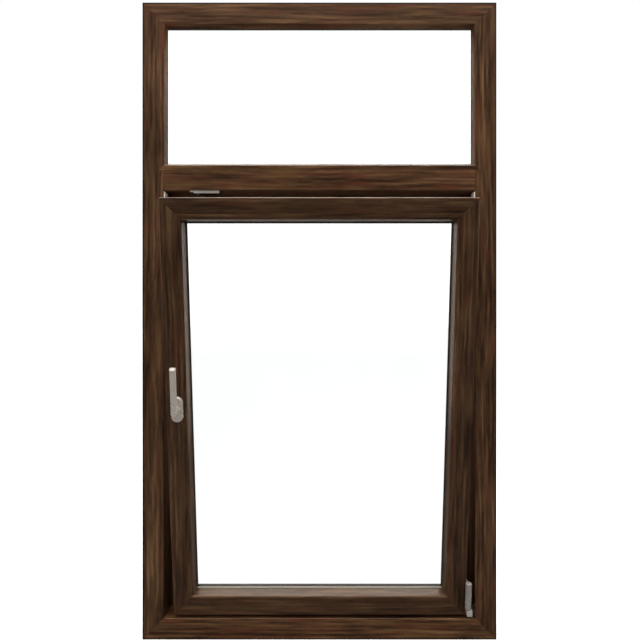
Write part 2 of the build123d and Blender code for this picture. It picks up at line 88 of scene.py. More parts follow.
# Hardware in satin, with painted shade beside and behind its fronts where the shade falls
COVER_WIDTH = 0.0190         # the corner bearing's satin front, from the hinge band's left edge; painted shade beyond it
COVER_BACK = 0.0020          # from the satin front's back to the frame's room face; painted shade behind it
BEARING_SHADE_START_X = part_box("hinge_band")[0].x + COVER_WIDTH
BEARING_SHADE_START_Y = ROOM_FACE - COVER_BACK
STRIKE_UNSHADED_DEPTH = 0.0020       # depth of the tilt keeper's front, which keeps its painted highlight; painted shade behind it
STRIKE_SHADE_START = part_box("tilt_keeper")[0].y + STRIKE_UNSHADED_DEPTH
TONE_EDGE = 0.0003           # half the width of the edge between two tones, such as satin and painted shade

# Walnut foil
EDGE_SHADE_WIDTH = 0.0035         # width of the painted shade along the frame's outer edges
EDGE_SHADE_BLUR = 0.0006           # over which the painted shade fades into the walnut
FOIL_ROUGHNESS = 0.24
STREAK_ROUGHNESS = 0.14      # added by the streaks
PORE_ROUGHNESS = 0.10        # added by the pores
FOIL_BUMP = (0.18, 0.0003)   # strength and depth
FOIL_GLOSS = 0.45
FOIL_GLOSS_TINT = (1.0, 0.84, 0.68, 1.0)
BEAD_FIGURE = 0.2            # strength of the plain-sawn figure
# Painted shade on the beads: the sash's beads are darkened for the light that falls less on the leaning
# sash
BEAD_PAINTED_SHADE = {"top_light": 1.0, "sash": 0.88}
FOIL_SEED = 7
ROLL_ACROSS = 2              # each member's foil comes from a place up to this far away
ROLL_ALONG = 4

# The foil's grain. Scales are per metre: across the grain, into the depth and along it.
SWAY_SCALE = (3.0, 3.0, 1.2)
SWAY_REACH = (0.035, 0.035, 0.0)    # how far it bends to and fro
SWAY_DETAIL = 2.0
RING_SCALE = (1.0, 0.4, 0.055)
RING_LOOK = {"Scale": 26.0, "Distortion": 7.0, "Detail": 2.5, "Detail Scale": 1.1, "Detail Roughness": 0.55}
RING_RANGE = (0.05, 0.95)

# Each layer: scale across and along, size, detail, roughness, start, full and strength
GRAIN_LAYERS = {
    "broad": (30.0, 2.4, 1.0, 3.0, 0.5, 0.32, 0.68, 1.0),
    "streak": (105.0, 6.5, 1.0, 5.0, 0.66, 0.34, 0.66, 1.0),
    "thread": (250.0, 13.0, 1.0, 3.0, 0.6, 0.54, 0.70, 1.0),
    "fibre": (760.0, 34.0, 1.0, 3.0, 0.6, 0.58, 0.72, 1.0),
    "red": (44.0, 3.6, 1.7, 3.0, 0.55, 0.52, 0.72, 0.75),
    "olive": (36.0, 3.0, 2.3, 3.0, 0.55, 0.54, 0.74, 0.55),
}
STREAK_SHARE = 0.62          # of the tone; the broad layer gives the rest
FIGURE_DEPTH = 0.55          # how far the figure darkens the tone
PORE_DEPTH = 0.45            # how far the pores do
THREAD_DEPTH = 0.60          # how far the fine lines do
DARK_TO_MID = (0.0, 0.5)     # the stretch of tone from the dark colour to the middle one
MID_TO_LIGHT = (0.45, 1.0)   # and on to the light one
STREAK_HEIGHT = 0.5          # how far the streaks stand out, against pores of depth 1

# Gaskets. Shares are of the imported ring's depth or width.
LIP_COUNT = 2
LIP_STEPS = 6
LIP_ROOT = 0.4               # from the lips' tips back to the root, along the pane
LIP_BULGE = 0.22             # how far a lip stands out
LIP_SHARE = 0.38             # how much of the sash's inner gasket is pale
LIP_EDGE = 0.0004            # over which the pale part ends
BULB_STEPS = 12
BULB_RISE = 0.7              # where the bulb leaves its foot
BULB_FOOT = 0.15             # from the bulb's side in to the foot

# Meshes
MERGE_WITHIN = 0.000002      # closer points are made one
SMOOTH_ANGLE = math.radians(40.0)
CAST_RADIUS = 0.0005         # of the corner bearing's edges
CAST_STEPS = 3
CAST_ANGLE = math.radians(28.0)     # a sharper edge is rounded
FLAT_ANGLE = math.radians(0.6)      # faces that turn less are made one

# Screws
SCREW_HEAD = {"Head Radius": 0.0036, "Head Height": 0.0007, "Slot Width": 0.0010}
SCREW_SEED = 11
SCREW_SIDES = 20
SCREW_RIM = 0.82             # the head's upper radius, as a share of its radius
SLOT_LENGTH = 1.15           # as a share of the head's radius
SCREW_INSET = 0.030          # from a faceplate's end to its first screw
SCREW_PITCH = 0.112
SIDE_SCREWS = 10
TOP_SCREWS = 4
BOTTOM_SCREWS = 7
PLATE = 0.004                # thickness of the bearings' plates and the hinge leaf
HINGE_LEAF_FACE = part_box("sash_right_stile")[1].x + PLATE
HINGE_MARGIN = 0.005         # at each end of the hinge leaf
HINGE_SHARES = (0.16, 0.5, 0.84)    # where its screws lie between the margins
HINGE_SCREW_BACK = 0.012     # from the leaf's back edge
BEARING_LEVELS = (0.010, 0.026)     # of the corner bearing's screws, above its foot
BEARING_SCREW_BACK = 0.009   # from the plate's back edge
STAY_LEVELS = (0.007, 0.030)        # of the stay bearing's screws, above its foot
STAY_SCREW_BACK = 0.014      # from the plate's back edge
FOOT = 0.0025                # thickness of the transom fittings' feet
TILT_KEEPER_INSET = 0.020    # from the tilt keeper's left end to its screw
KEEPER_INSET = 0.0075        # from the other keepers' ends to theirs

# The studio
FLOOR_REACH = 60.0
FLOOR_TONE = 0.5
FLOOR_MOTTLE = 0.01          # how much darker the floor is in patches
FLOOR_PATCHES = (1.5, 3.0)   # their scale and detail
FLOOR_GLOW = 0.62            # what the floor adds where it is seen, so that a shadow still shows
GLASS_FLOOR = 1.10           # what it adds behind glass
FLOOR_GLOSS = 0.10           # share of the floor's tone that gloss shows
FLOOR_NEAR = 0.12            # how white the near floor is in gloss seen through glass
FLOOR_FADE = (2.4, 3.4)      # from the window's foot, over which it turns white
SKY_LIGHT = (0.20, 1.25)     # the world as light, from the horizon to straight above
SKY_RANGE = (-0.1, 1.0)      # upward part of the direction over which it brightens
ROOM_GLOSS = (0.06, 1.0)     # the world in gloss, from the room side round to the outside
OUTWARD_RANGE = (0.0, 0.6)   # outward part of the direction over which it brightens
ABOVE_RANGE = (0.5, 0.95)    # upward part over which it is white from above
GLASS_SKY = 1.4              # the world through glass, which takes some of it
WHITE = (1.0, 1.0, 1.0, 1.0)

# Lamps: place, aim, width and height, and watts
LAMPS = {
    "overhead": ((0.0, -0.6, 4.2), (0.0, -0.2, 0.9), (3.0, 1.8), 170.0),
    "high_behind": ((0.0, 1.8, 3.7), (0.0, 0.0, 0.5), (3.0, 1.4), 60.0),
    "left_front": ((-3.0, -2.2, 2.2), (0.0, 0.0, 0.9), (1.4, 2.2), 14.0),
    "right_front": ((3.0, -2.2, 2.2), (0.0, 0.0, 0.9), (1.4, 2.2), 14.0),
}

# Colours as they look in daylight, 0 to 255, in pairs where a finish is mottled; the painted light and
# shade among them is marked
WALNUT = {"Dark": (42, 24, 13), "Mid": (76, 50, 30), "Light": (110, 80, 52), "Red": (86, 42, 26),
          "Olive": (90, 66, 32)}
# Painted shade along the frame's outer edges
EDGE_SHADE_COLOUR = (30, 19, 14)
RUBBER_TONES = ((30, 28, 26), (52, 49, 46))
SATIN_TONES = ((200, 190, 179), (188, 178, 167))
# The tilt keeper's satin, brightened as a painted highlight on its front
STRIKE_HIGHLIGHT_TONES = ((240, 232, 220), (226, 217, 205))
SLEEVE_TONES = ((162, 154, 146), (152, 144, 137))
CREAM_TONES = ((226, 213, 197), (208, 196, 180))
ZINC_TONES = ((186, 178, 166), (160, 153, 142))
SPACER_TONES = ((96, 94, 90), (40, 39, 38))
GLASS_TONES = ((255, 255, 255), (251, 253, 252))
# The sash's pale lip grey, shown only along the bottom as a painted highlight
LIP_GREY_AND_HIGHLIGHT = (198, 188, 174)
# Painted shade on the corner bearing and the tilt keeper, beside and behind their satin fronts
PAINTED_SHADE_DARK = (46, 42, 36)

# Mottling: its scale per metre, and how rough the finish is at its smoothest and roughest
RUBBER_MOTTLE = {"Scale": 90.0, "Smooth": 0.5, "Rough": 0.68}
SATIN_MOTTLE = {"Scale": 28.0, "Smooth": 0.26, "Rough": 0.34}
CREAM_MOTTLE = {"Scale": 60.0, "Smooth": 0.4, "Rough": 0.5}
ZINC_MOTTLE = {"Scale": 110.0, "Smooth": 0.25, "Rough": 0.42}
SPACER_MOTTLE = {"Scale": 260.0, "Smooth": 0.35, "Rough": 0.5}
GLASS_MOTTLE = {"Scale": 2.5, "Smooth": 0.0, "Rough": 0.006}
MOTTLE_RANGE = (0.3, 0.7)    # of the noise, from the first tone to the second
CLOUD_DETAIL = 5.0
FINE_MOTTLE = 14.0           # times as fine, for the bump
FINE_DETAIL = 2.0
MOTTLE_GRIT = 0.5            # how much of the noise is in its small waves
SATIN_METALLIC = 0.45
ZINC_METALLIC = 0.55
SPACER_METALLIC = 0.6
SOFT_BUMP = (0.15, 0.0002)   # strength and depth
ZINC_BUMP = (0.12, 0.0001)
SPACER_BUMP = (0.3, 0.0002)
GLASS_IOR = 1.45


def linear(colour):
    """Scene colour of a 0 to 255 screen colour."""
    values = []
    for level in colour:
        share = level / 255.0
        values.append(share / 12.92 if share <= 0.04045 else ((share + 0.055) / 1.055) ** 2.4)
    return (*values, 1.0)


# Shader node helpers


def new_group(name, inputs):
    """A shader group for colour, roughness and height, with its input and output nodes."""
    group = bpy.data.node_groups.new(name, "ShaderNodeTree")
    group.interface.new_socket(name="Vector", in_out="INPUT", socket_type="NodeSocketVector")
    for socket, value in inputs.items():
        kind = "NodeSocketColor" if isinstance(value, tuple) else "NodeSocketFloat"
        made = group.interface.new_socket(name=socket, in_out="INPUT", socket_type=kind)
        made.default_value = value
    group.interface.new_socket(name="Color", in_out="OUTPUT", socket_type="NodeSocketColor")
    group.interface.new_socket(name="Roughness", in_out="OUTPUT", socket_type="NodeSocketFloat")
    group.interface.new_socket(name="Height", in_out="OUTPUT", socket_type="NodeSocketFloat")
    return group, group.nodes.new("NodeGroupInput"), group.nodes.new("NodeGroupOutput")


def connect(tree, source, target):
    """Links one node's output to another's input."""
    tree.links.new(source, target)


def feed(tree, target, value):
    """Links an input to the output that is given, or sets it to the value that is given."""
    if isinstance(value, bpy.types.NodeSocket):
        connect(tree, value, target)
    else:
        target.default_value = value


def math_node(tree, operation, *values, clamp=False):
    """A math node whose inputs are sockets or numbers; returns its result."""
    node = tree.nodes.new("ShaderNodeMath")
    node.operation = operation
    node.use_clamp = clamp
    for place, value in enumerate(values):
        feed(tree, node.inputs[place], value)
    return node.outputs[0]


def remap(tree, value, low, high, to_low=0.0, to_high=1.0):
    """Goes softly from one number to another as the value passes from low to high."""
    node = tree.nodes.new("ShaderNodeMapRange")
    node.interpolation_type = "SMOOTHSTEP"
    connect(tree, value, node.inputs["Value"])
    node.inputs["From Min"].default_value = low
    node.inputs["From Max"].default_value = high
    node.inputs["To Min"].default_value = to_low
    node.inputs["To Max"].default_value = to_high
    return node.outputs["Result"]


def blend_colours(tree, share, first, second):
    """Goes from the first colour to the second as share goes from 0 to 1."""
    node = tree.nodes.new("ShaderNodeMix")
    node.data_type = "RGBA"
    feed(tree, node.inputs[0], share)
    feed(tree, node.inputs[6], first)
    feed(tree, node.inputs[7], second)
    return node.outputs[2]


def blend_values(tree, share, first, second):
    """Goes from the first number to the second as share goes from 0 to 1."""
    node = tree.nodes.new("ShaderNodeMix")
    node.data_type = "FLOAT"
    feed(tree, node.inputs[0], share)
    feed(tree, node.inputs[2], first)
    feed(tree, node.inputs[3], second)
    return node.outputs[0]


def noise(tree, vector, scale, detail, roughness=0.55):
    """Soft noise between 0 and 1."""
    node = tree.nodes.new("ShaderNodeTexNoise")
    connect(tree, vector, node.inputs["Vector"])
    feed(tree, node.inputs["Scale"], scale)
    node.inputs["Detail"].default_value = detail
    node.inputs["Roughness"].default_value = roughness
    return node.outputs["Fac"]


def stretched(tree, vector, scale):
    """The vector multiplied by a scale along each axis."""
    node = tree.nodes.new("ShaderNodeVectorMath")
    node.operation = "MULTIPLY"
    connect(tree, vector, node.inputs[0])
    node.inputs[1].default_value = scale
    return node.outputs[0]


def separate(tree, vector):
    """The vector's X, Y and Z, as the outputs of a node."""
    node = tree.nodes.new("ShaderNodeSeparateXYZ")
    connect(tree, vector, node.inputs[0])
    return node.outputs


def swayed(tree, place):
    """The place bent a little to and fro across the grain."""
    sway = noise(tree, stretched(tree, place, SWAY_SCALE), 1.0, SWAY_DETAIL)
    node = tree.nodes.new("ShaderNodeVectorMath")
    node.operation = "MULTIPLY_ADD"
    connect(tree, sway, node.inputs[0])
    node.inputs[1].default_value = SWAY_REACH
    connect(tree, place, node.inputs[2])
    return node.outputs[0]


def ring_figure(tree, place, strength):
    """The broad arches of plain-sawn wood."""
    rings = tree.nodes.new("ShaderNodeTexWave")
    rings.wave_type = "BANDS"
    rings.bands_direction = "X"
    connect(tree, stretched(tree, place, RING_SCALE), rings.inputs["Vector"])
    for name, value in RING_LOOK.items():
        rings.inputs[name].default_value = value
    return math_node(tree, "MULTIPLY", remap(tree, rings.outputs["Fac"], *RING_RANGE), strength)


def grain_group():
    """Printed walnut: broad tone, plain-sawn figure, streaks and pores, with the grain along Z."""
    inputs = {"Figure": BEAD_FIGURE}
    for name, colour in WALNUT.items():
        inputs[name] = linear(colour)
    tree, given, result = new_group("walnut_grain", inputs)
    place = swayed(tree, given.outputs["Vector"])
    raw = {}
    layer = {}
    for name, (across, along, size, detail, roughness, start, full, strength) in GRAIN_LAYERS.items():
        raw[name] = noise(tree, stretched(tree, place, (across, across, along)), size, detail, roughness)
        layer[name] = remap(tree, raw[name], start, full, 0.0, strength)
    figure = ring_figure(tree, place, given.outputs["Figure"])

    tone = math_node(tree, "ADD", math_node(tree, "MULTIPLY", layer["streak"], STREAK_SHARE),
                     math_node(tree, "MULTIPLY", layer["broad"], 1.0 - STREAK_SHARE))
    darker = math_node(tree, "MULTIPLY", figure, FIGURE_DEPTH)
    tone = math_node(tree, "SUBTRACT", tone, darker, clamp=True)
    share = remap(tree, tone, *DARK_TO_MID)
    colour = blend_colours(tree, share, given.outputs["Dark"], given.outputs["Mid"])
    colour = blend_colours(tree, remap(tree, tone, *MID_TO_LIGHT), colour, given.outputs["Light"])
    colour = blend_colours(tree, layer["red"], colour, given.outputs["Red"])
    colour = blend_colours(tree, layer["olive"], colour, given.outputs["Olive"])
    marks = math_node(tree, "MAXIMUM", math_node(tree, "MULTIPLY", layer["fibre"], PORE_DEPTH),
                      math_node(tree, "MULTIPLY", layer["thread"], THREAD_DEPTH))
    colour = blend_colours(tree, marks, colour, given.outputs["Dark"])

    streaky = math_node(tree, "MULTIPLY", raw["streak"], STREAK_ROUGHNESS)
    porous = math_node(tree, "MULTIPLY", layer["fibre"], PORE_ROUGHNESS)
    roughness = math_node(tree, "ADD", math_node(tree, "ADD", FOIL_ROUGHNESS, streaky), porous)
    raised = math_node(tree, "MULTIPLY", raw["streak"], STREAK_HEIGHT)
    height = math_node(tree, "SUBTRACT", raised, layer["fibre"])
    connect(tree, colour, result.inputs["Color"])
    connect(tree, roughness, result.inputs["Roughness"])
    connect(tree, height, result.inputs["Height"])
    return tree


def mottle_group():
    """Soft uneven tone for metal, rubber and plastic: two noises of different size."""
    first, second = ZINC_TONES
    inputs = {"First": linear(first), "Second": linear(second), **ZINC_MOTTLE}
    tree, given, result = new_group("mottle", inputs)
    place = given.outputs["Vector"]
    scale = given.outputs["Scale"]
    cloud = noise(tree, place, scale, CLOUD_DETAIL, MOTTLE_GRIT)
    fine_scale = math_node(tree, "MULTIPLY", scale, FINE_MOTTLE)
    fine = noise(tree, place, fine_scale, FINE_DETAIL, MOTTLE_GRIT)
    share = remap(tree, cloud, *MOTTLE_RANGE)
    span = math_node(tree, "SUBTRACT", given.outputs["Rough"], given.outputs["Smooth"])
    roughness = math_node(tree, "MULTIPLY_ADD", share, span, given.outputs["Smooth"])
    colour = blend_colours(tree, share, given.outputs["First"], given.outputs["Second"])
    connect(tree, colour, result.inputs["Color"])
    connect(tree, roughness, result.inputs["Roughness"])
    connect(tree, fine, result.inputs["Height"])
    return tree


GRAIN = grain_group()
MOTTLE = mottle_group()


def new_material(name):
    """A material with its Principled shader and the object's own coordinates."""
    material = bpy.data.materials.new(name)
    material.use_nodes = True
    tree = material.node_tree
    shader = tree.nodes["Principled BSDF"]
    place = tree.nodes.new("ShaderNodeTexCoord")
    return material, tree, shader, place.outputs["Object"]


def place_group(tree, group, vector, **values):
    """A group node in a material, with its inputs set by name."""
    node = tree.nodes.new("ShaderNodeGroup")
    node.node_tree = group
    connect(tree, vector, node.inputs["Vector"])
    for name, value in values.items():
        node.inputs[name].default_value = value
    return node


def mottle(tree, place, tones, texture):
    """The mottling of a finish with two tones."""
    first, second = tones
    return place_group(tree, MOTTLE, place, First=linear(first), Second=linear(second), **texture)


def paint(tree, shader, colour, roughness):
    """Gives a material its colour and its roughness."""
    connect(tree, colour, shader.inputs["Base Color"])
    connect(tree, roughness, shader.inputs["Roughness"])


def add_bump(tree, shader, height, strength, depth):
    """Makes the surface look uneven."""
    bump = tree.nodes.new("ShaderNodeBump")
    bump.inputs["Strength"].default_value = strength
    bump.inputs["Distance"].default_value = depth
    connect(tree, height, bump.inputs["Height"])
    connect(tree, bump.outputs["Normal"], shader.inputs["Normal"])


def painted_edge_shade(tree, place, colour):
    """Paints a dark band of shade along the frame's outer edges, standing in for their rounded corners
    turning into shadow.
    """
    parts = separate(tree, place)
    side = math_node(tree, "ABSOLUTE", parts["X"])
    level = math_node(tree, "ABSOLUTE", math_node(tree, "SUBTRACT", parts["Z"], HALF_HEIGHT))
    shade_side_start = HALF_WIDTH - EDGE_SHADE_WIDTH
    shade_top_start = HALF_HEIGHT - EDGE_SHADE_WIDTH
    edge_shade_share = math_node(tree, "MAXIMUM", remap(tree, side, shade_side_start - EDGE_SHADE_BLUR, shade_side_start),
                     remap(tree, level, shade_top_start - EDGE_SHADE_BLUR, shade_top_start))
    return blend_colours(tree, edge_shade_share, colour, linear(EDGE_SHADE_COLOUR))


def sash_place(tree, place):
    """The place as measured along the leaning sash."""
    mapping = tree.nodes.new("ShaderNodeMapping")
    mapping.vector_type = "TEXTURE"
    connect(tree, place, mapping.inputs["Vector"])
    mapping.inputs["Location"].default_value = SASH_ORIGIN
    mapping.inputs["Rotation"].default_value = (TILT, 0.0, 0.0)
    return mapping.outputs["Vector"]


def foil_material(name, upright, leaning, shift, figure, shade):
    """Walnut foil with its grain along the member, upright or level, on the frame or the sash."""
    material, tree, shader, place = new_material(name)
    parts = separate(tree, sash_place(tree, place) if leaning else place)
    turned = tree.nodes.new("ShaderNodeCombineXYZ")
    for axis, source in enumerate("XYZ" if upright else "ZYX"):
        connect(tree, parts[source], turned.inputs[axis])
    shifted = tree.nodes.new("ShaderNodeVectorMath")
    connect(tree, turned.outputs[0], shifted.inputs[0])
    shifted.inputs[1].default_value = shift
    # The member's shade is painted light and shade: it scales the walnut's tones for how the light falls on
    # it
    painted_shade_tones = {tone: linear([level * shade for level in colour]) for tone, colour in WALNUT.items()}
    grain = place_group(tree, GRAIN, shifted.outputs[0], Figure=figure, **painted_shade_tones)
    colour = grain.outputs["Color"]
    # Off the sash, painted shade darkens the frame's outer edges
    if not leaning:
        colour = painted_edge_shade(tree, place, colour)
    paint(tree, shader, colour, grain.outputs["Roughness"])
    add_bump(tree, shader, grain.outputs["Height"], *FOIL_BUMP)
    shader.inputs["Specular IOR Level"].default_value = FOIL_GLOSS
    shader.inputs["Specular Tint"].default_value = FOIL_GLOSS_TINT
    return material


def plain_material(name, tones, texture, metallic=0.0, bump=None):
    """Metal, rubber or plastic with soft mottling, and a fine bump where the finish has one."""
    material, tree, shader, place = new_material(name)
    finish = mottle(tree, place, tones, texture)
    paint(tree, shader, finish.outputs["Color"], finish.outputs["Roughness"])
    if bump:
        add_bump(tree, shader, finish.outputs["Height"], *bump)
    shader.inputs["Metallic"].default_value = metallic
    return material


def satin_with_painted_shade(name, tones, shade_start_x, shade_start_y):
    """Satin in front, and painted shade beside it and behind it: a dark tone where the shade falls."""
    material, tree, shader, place = new_material(name)
    satin = mottle(tree, place, tones, SATIN_MOTTLE)
    parts = separate(tree, place)
    beside = remap(tree, parts["X"], shade_start_x - TONE_EDGE, shade_start_x + TONE_EDGE)
    behind = remap(tree, parts["Y"], shade_start_y - TONE_EDGE, shade_start_y + TONE_EDGE)
    # A dark tone painted where the shade falls, beside and behind the satin front
    painted_shade_mask = math_node(tree, "MAXIMUM", beside, behind)
    colour = blend_colours(tree, painted_shade_mask, satin.outputs["Color"], linear(PAINTED_SHADE_DARK))
    paint(tree, shader, colour, satin.outputs["Roughness"])
    shader.inputs["Metallic"].default_value = SATIN_METALLIC
    return material


def lip_material():
    """Black glazing rubber on the sash with a pale grey lip, painted only along the bottom as a highlight
    where the lip faces up into the light.
    """
    material, tree, shader, place = new_material("sash_lip_rubber")
    rubber = mottle(tree, place, RUBBER_TONES, RUBBER_MOTTLE)
    parts = separate(tree, sash_place(tree, place))
    low, high, reach = ring_extent("sash_gasket_inner", SASH_MATRIX)
    middle = low.y + LIP_SHARE * (high.y - low.y)
    front = remap(tree, parts["Y"], middle + TONE_EDGE, middle - TONE_EDGE)
    # The pale lip shows only along the bottom: a painted highlight where it faces up into the light
    sill_highlight = remap(tree, parts["Z"], low.z + reach + LIP_EDGE, low.z + reach)
    pale = math_node(tree, "MULTIPLY", sill_highlight, front)
    colour = blend_colours(tree, pale, rubber.outputs["Color"], linear(LIP_GREY_AND_HIGHLIGHT))
    paint(tree, shader, colour, rubber.outputs["Roughness"])
    add_bump(tree, shader, rubber.outputs["Height"], *SOFT_BUMP)
    return material


def glass_material():
    """Clear glass; light that only casts a shadow passes straight through."""
    material, tree, shader, place = new_material("clear_glass")
    tint = mottle(tree, place, GLASS_TONES, GLASS_MOTTLE)
    paint(tree, shader, tint.outputs["Color"], tint.outputs["Roughness"])
    shader.inputs["Transmission Weight"].default_value = 1.0
    shader.inputs["IOR"].default_value = GLASS_IOR
    clear = tree.nodes.new("ShaderNodeBsdfTransparent")
    clear.inputs["Color"].default_value = WHITE
    path = tree.nodes.new("ShaderNodeLightPath")
    mix = tree.nodes.new("ShaderNodeMixShader")
    connect(tree, path.outputs["Is Shadow Ray"], mix.inputs["Fac"])
    connect(tree, shader.outputs["BSDF"], mix.inputs[1])
    connect(tree, clear.outputs["BSDF"], mix.inputs[2])
    connect(tree, mix.outputs["Shader"], tree.nodes["Material Output"].inputs["Surface"])
    return material


def make_finishes():
    """Every finish but the foil, by a short name."""
    return {
        "rubber": plain_material("black_rubber", RUBBER_TONES, RUBBER_MOTTLE, bump=SOFT_BUMP),
        "lip": lip_material(),
        "satin": plain_material("satin_metal", SATIN_TONES, SATIN_MOTTLE, SATIN_METALLIC),
        "sleeve": plain_material("sleeve_metal", SLEEVE_TONES, SATIN_MOTTLE, SATIN_METALLIC),
        "cream": plain_material("cream_cover", CREAM_TONES, CREAM_MOTTLE, bump=SOFT_BUMP),
        "bearing": satin_with_painted_shade("bearing_satin_painted_shade", SATIN_TONES, BEARING_SHADE_START_X, BEARING_SHADE_START_Y),
        "strike": satin_with_painted_shade("strike_painted_highlight_shade", STRIKE_HIGHLIGHT_TONES, HALF_WIDTH, STRIKE_SHADE_START),
        "zinc": plain_material("zinc_plate", ZINC_TONES, ZINC_MOTTLE, ZINC_METALLIC, ZINC_BUMP),
        "spacer": plain_material("spacer_bar", SPACER_TONES, SPACER_MOTTLE, SPACER_METALLIC, SPACER_BUMP),
        "glass": glass_material(),
    }


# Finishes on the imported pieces


def dress(node, material):
    """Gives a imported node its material."""
    mesh = NODES[node].data
    mesh.materials.clear()
    mesh.materials.append(material)


def dress_foil():
    """Every member and bead gets its own stretch of foil."""
    # Whether it is upright, whether it leans with the sash, strength of its figure, and its painted shade:
    # a factor that lightens or darkens the walnut for how the light falls on the member
    members = {
        "frame_left_jamb": (True, False, 0.30, 0.95), "frame_right_jamb": (True, False, 0.45, 1.0),
        "frame_head": (False, False, 0.25, 1.03), "frame_bottom_rail": (False, False, 0.35, 1.1),
        "transom": (False, False, 0.30, 1.05), "sash_left_stile": (True, True, 0.30, 0.83),
        "sash_right_stile": (True, True, 0.45, 0.82), "sash_top_rail": (False, True, 0.25, 0.80),
        "sash_bottom_rail": (False, True, 0.30, 0.82),
    }
    for side, upright in (("left", True), ("right", True), ("top", False), ("bottom", False)):
        for light, shade in BEAD_PAINTED_SHADE.items():
            members[f"{light}_bead_{side}"] = (upright, light == "sash", BEAD_FIGURE, shade)
    draw = random.Random(FOIL_SEED)
    for node, (upright, leaning, figure, shade) in members.items():
        shift = (draw.uniform(-ROLL_ACROSS, ROLL_ACROSS), draw.uniform(-ROLL_ACROSS, ROLL_ACROSS),
                 draw.uniform(-ROLL_ALONG, ROLL_ALONG))
        dress(node, foil_material(f"foil_{node}", upright, leaning, shift, figure, shade))


def dress_rest(finishes):
    """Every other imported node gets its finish."""
    nodes = {
        "rubber": ["frame_seal"],
        "satin": ["handle_base", "handle_lever"],
        "sleeve": ["hinge_band"],
        "cream": ["transom_brackets"],
        "bearing": ["corner_bearing"],
        "strike": ["tilt_keeper"],
        "zinc": ["hinge_pin", "stay_arm", "stay_link", "stay_rivets", "stay_bearing", "side_keeper",
                 "bottom_keeper", "side_cam", "bottom_cam", "side_faceplate", "top_faceplate",
                 "bottom_faceplate"],
        "spacer": [],
        "glass": [],
    }
    for light in ("top_light", "sash"):
        nodes["rubber"] += [f"{light}_gasket_inner", f"{light}_gasket_outer"]
        nodes["spacer"].append(f"{light}_glass_spacer")
        nodes["glass"] += [f"{light}_glass_inner", f"{light}_glass_outer"]
    for finish, dressed in nodes.items():
        for node in dressed:
            dress(node, finishes[finish])


# Mesh helpers


def node_points(node, matrix):
    """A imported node's points as measured along the axes of the matrix."""
    back = matrix.inverted()
    return [back @ vertex.co for vertex in NODES[node].data.vertices]


def corners(points):
    """The lowest and the highest corner of some points' box."""
    low = Vector([min(point[axis] for point in points) for axis in range(3)])
    high = Vector([max(point[axis] for point in points) for axis in range(3)])
    return low, high


def finish_piece(name, mesh):
    """Turns the faces outwards, rounds the shading and puts the piece in the scene."""
    shape = bmesh.new()
    shape.from_mesh(mesh)
    bmesh.ops.remove_doubles(shape, verts=shape.verts, dist=MERGE_WITHIN)
    bmesh.ops.recalc_face_normals(shape, faces=shape.faces)
    shape.to_mesh(mesh)
    shape.free()
    shade_round(mesh)
    piece = bpy.data.objects.new(name, mesh)
    SCENE.collection.objects.link(piece)
    return piece


def shade_round(mesh):
    """Smooth shading, with the corners kept sharp."""
    mesh.shade_smooth()
    mesh.set_sharp_from_angle(angle=SMOOTH_ANGLE)


def apply_modifiers(piece):
    """Turns a piece with its modifiers into a plain mesh."""
    graph = bpy.context.evaluated_depsgraph_get()
    mesh = bpy.data.meshes.new_from_object(piece.evaluated_get(graph))
    piece.modifiers.clear()
    piece.data = mesh
    mesh.name = piece.name


def fit_piece(piece, node, material, body):
    """Gives a new piece its material and its body, and hides the node that it stands for."""
    piece.data.materials.clear()
    piece.data.materials.append(material)
    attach(piece, body)
    if node:
        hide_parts(node)


# Gaskets


def mitred_ring(name, profile, width, height, matrix):
    """Sweeps a closed profile of inset and depth round a rectangle standing on the origin."""
    half = width / 2
    points = []
    for across, up in ((-1, 0), (1, 0), (1, 1), (-1, 1)):
        for inset, depth in profile:
            level = inset if up == 0 else height - inset
            points.append(matrix @ Vector((across * (half - inset), depth, level)))
    count = len(profile)
    faces = []
    for here in range(0, len(points), count):
        there = (here + count) % len(points)
        for place in range(count):
            beside = (place + 1) % count
            faces.append((here + place, here + beside, there + beside, there + place))
    mesh = bpy.data.meshes.new(name)
    mesh.from_pydata(points, [], faces)
    return finish_piece(name, mesh)


def lip_profile(reach, depth):
    """Section of a glazing gasket: a flat root, and rounded lips on its sight face."""
    points = [(0.0, 0.0), (reach - LIP_ROOT * depth, 0.0)]
    for step in range(LIP_COUNT * LIP_STEPS + 1):
        bulge = LIP_BULGE * depth * abs(math.sin(math.pi * step / LIP_STEPS))
        points.append((reach - LIP_BULGE * depth + bulge, depth * step / (LIP_COUNT * LIP_STEPS)))
    points.append((0.0, depth))
    return points


def bulb_profile(width, depth):
    """Section of the sash seal: a foot held in the frame and a round bulb that the sash squeezes."""
    rise = BULB_RISE * depth
    foot_end = (1 - BULB_FOOT) * width
    points = [(BULB_FOOT * width, depth), (foot_end, depth), (foot_end, rise)]
    for step in range(BULB_STEPS + 1):
        angle = math.pi * step / BULB_STEPS
        points.append((0.5 * width * (1 + math.cos(angle)), rise * (1 - math.sin(angle))))
    points.append((BULB_FOOT * width, rise))
    return points


def ring_extent(node, matrix):
    """Corners of a packed ring along the matrix's axes, and how far it reaches inwards."""
    points = node_points(node, matrix)
    low, high = corners(points)
    inner = min(abs(point.x) for point in points)
    return low, high, high.x - inner


def seat_ring(node, ending, section, matrix, material):
    """A ring of the given section where a packed ring lies."""
    low, high, reach = ring_extent(node, matrix)
    profile = section(reach, high.y - low.y)
    place = matrix @ Matrix.Translation((0.0, low.y, low.z))
    piece = mitred_ring(f"{node}_{ending}", profile, high.x - low.x, high.z - low.z, place)
    fit_piece(piece, node, material, ROOT)


